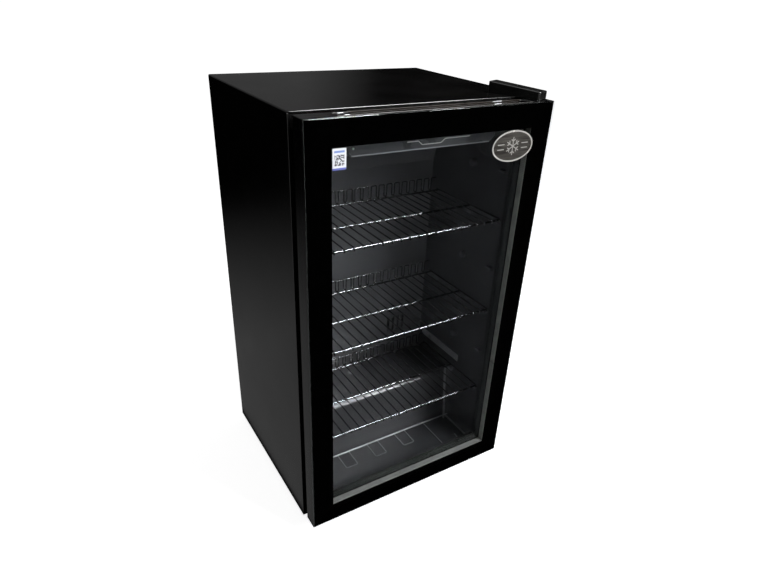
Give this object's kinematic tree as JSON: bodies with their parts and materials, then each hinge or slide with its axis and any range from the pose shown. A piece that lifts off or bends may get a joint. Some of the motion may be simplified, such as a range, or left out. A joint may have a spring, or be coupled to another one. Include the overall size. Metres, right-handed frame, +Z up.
{
  "type": "glass door merchandiser",
  "caption": "Small upright drinks cooler with a black steel cabinet, a hinged double-glazed door with a black border, a top finger grip and lift-out wire shelves.",
  "frame": {"origin": "middle of the footprint at floor level", "axes": "+Z up, -Y towards the user in front of the door, +X to the right as seen from the front"},
  "size_m": [0.48, 0.45, 0.8569],
  "materials": {
    "painted_steel": "gloss black powder coat",
    "zinc_steel": "zinc-plated sheet",
    "liner_plastic": "dark grey vacuum-formed, satin",
    "duct_plastic": "dark grey moulded, satin",
    "foam": "rigid polyurethane foam",
    "clear_glass": "clear toughened",
    "black_print": "fired ceramic border",
    "spacer_alu": "perforated spacer",
    "frame_plastic": "black extruded profile",
    "grip_plastic": "polished black",
    "gasket_rubber": "soft black",
    "magnet": "bonded ferrite strip",
    "nylon": "natural nylon",
    "badge_silver": "bright rim",
    "badge_dark": "printed face",
    "label_paper": "white paper",
    "shelf_wire": "plated wire",
    "cover_plastic": "fine-grained black",
    "foot_plastic": "black",
    "fin_alu": "mill finish",
    "compressor_paint": "satin black",
    "grommet_rubber": "black",
    "relay_plastic": "black",
    "tray_plastic": "grey",
    "hose_rubber": "grey",
    "copper": "copper tube",
    "condenser_paint": "satin black",
    "lens_plastic": "frosted diffuser",
    "led_board": "white circuit strip",
    "lamp_green": "clear lamp",
    "lightbox_plastic": "grey moulded",
    "knob_plastic": "black",
    "rocker_plastic": "black"
  },
  "bodies": {
    "cabinet": {"outer_wrap": "painted_steel", "back_sheet": "painted_steel", "base_pan": "zinc_steel", "inner_liner": "liner_plastic", "foam_insulation": "foam", "duct_panel": "duct_plastic", "duct_hood": "duct_plastic", "evaporator": "fin_alu", "fan_frame": "relay_plastic", "light_box": "lightbox_plastic", "light_lens": "lens_plastic", "led_strip": "led_board", "power_lamp": "lamp_green", "shelf_supports": "liner_plastic", "hinge_washer": "nylon", "hinge_cover": "cover_plastic", "top_hinge": "zinc_steel", "bottom_hinge": "condenser_paint", "hinge_screws": "zinc_steel", "rear_feet": "foot_plastic", "compressor_base": "zinc_steel", "compressor": "compressor_paint", "compressor_grommets": "grommet_rubber", "relay_box": "relay_plastic", "drip_tray": "tray_plastic", "drain_tube": "hose_rubber", "filter_drier": "copper", "refrigerant_pipes": "copper", "condenser_coil": "condenser_paint", "condenser_wires": "condenser_paint", "condenser_clips": "relay_plastic", "rear_guard": "zinc_steel", "thermostat": "relay_plastic", "switch_bezel": "relay_plastic", "cord_gland": "relay_plastic"},
    "door": {"front_glass": "clear_glass", "border_print": "black_print", "spacer_bar": "spacer_alu", "rear_glass": "clear_glass", "left_stile": "frame_plastic", "right_stile": "frame_plastic", "top_rail": "grip_plastic", "bottom_rail": "frame_plastic", "door_gasket": "gasket_rubber", "door_magnets": "magnet", "hinge_bushes": "nylon", "badge_rim": "badge_silver", "badge_face": "badge_dark", "door_label": "label_paper"},
    "lower_rack": {"lower_shelf": "shelf_wire", "lower_shelf_fence": "shelf_wire"},
    "middle_rack": {"middle_shelf": "shelf_wire", "middle_shelf_fence": "shelf_wire"},
    "upper_rack": {"upper_shelf": "shelf_wire", "upper_shelf_fence": "shelf_wire"},
    "fan_rotor": {"fan_blades": "relay_plastic"},
    "knob": {"thermostat_knob": "knob_plastic"},
    "rocker": {"light_rocker": "rocker_plastic"},
    "left_foot": {"front_left_foot": "foot_plastic"},
    "right_foot": {"front_right_foot": "foot_plastic"}
  },
  "joints": [
    {"name": "door_swing", "type": "hinge", "parent": "cabinet", "child": "door", "pos_m": [0.221, -0.1972, 0.4], "axis": [0, 0, 1], "range_deg": [0, 105]},
    {"name": "lower_shelf_lift", "type": "slide", "parent": "cabinet", "child": "lower_rack", "axis": [0, 0, 1], "range_m": [0, 0.07]},
    {"name": "middle_shelf_lift", "type": "slide", "parent": "cabinet", "child": "middle_rack", "axis": [0, 0, 1], "range_m": [0, 0.07]},
    {"name": "upper_shelf_lift", "type": "slide", "parent": "cabinet", "child": "upper_rack", "axis": [0, 0, 1], "range_m": [0, 0.07]},
    {"name": "fan_spin", "type": "hinge", "parent": "cabinet", "child": "fan_rotor", "pos_m": [0.127, 0.0838, 0.26], "axis": [0, -1, 0], "continuous": true},
    {"name": "thermostat_turn", "type": "hinge", "parent": "cabinet", "child": "knob", "pos_m": [-0.15, 0.2188, 0.0935], "axis": [0, 1, 0], "range_deg": [0, 270]},
    {"name": "light_rock", "type": "hinge", "parent": "cabinet", "child": "rocker", "pos_m": [-0.112, 0.2143, 0.0935], "axis": [0, 0, 1], "range_deg": [0, 10]},
    {"name": "left_foot_height", "type": "slide", "parent": "cabinet", "child": "left_foot", "axis": [0, 0, -1], "range_m": [0, 0.01]},
    {"name": "right_foot_height", "type": "slide", "parent": "cabinet", "child": "right_foot", "axis": [0, 0, -1], "range_m": [0, 0.01]}
  ]
}
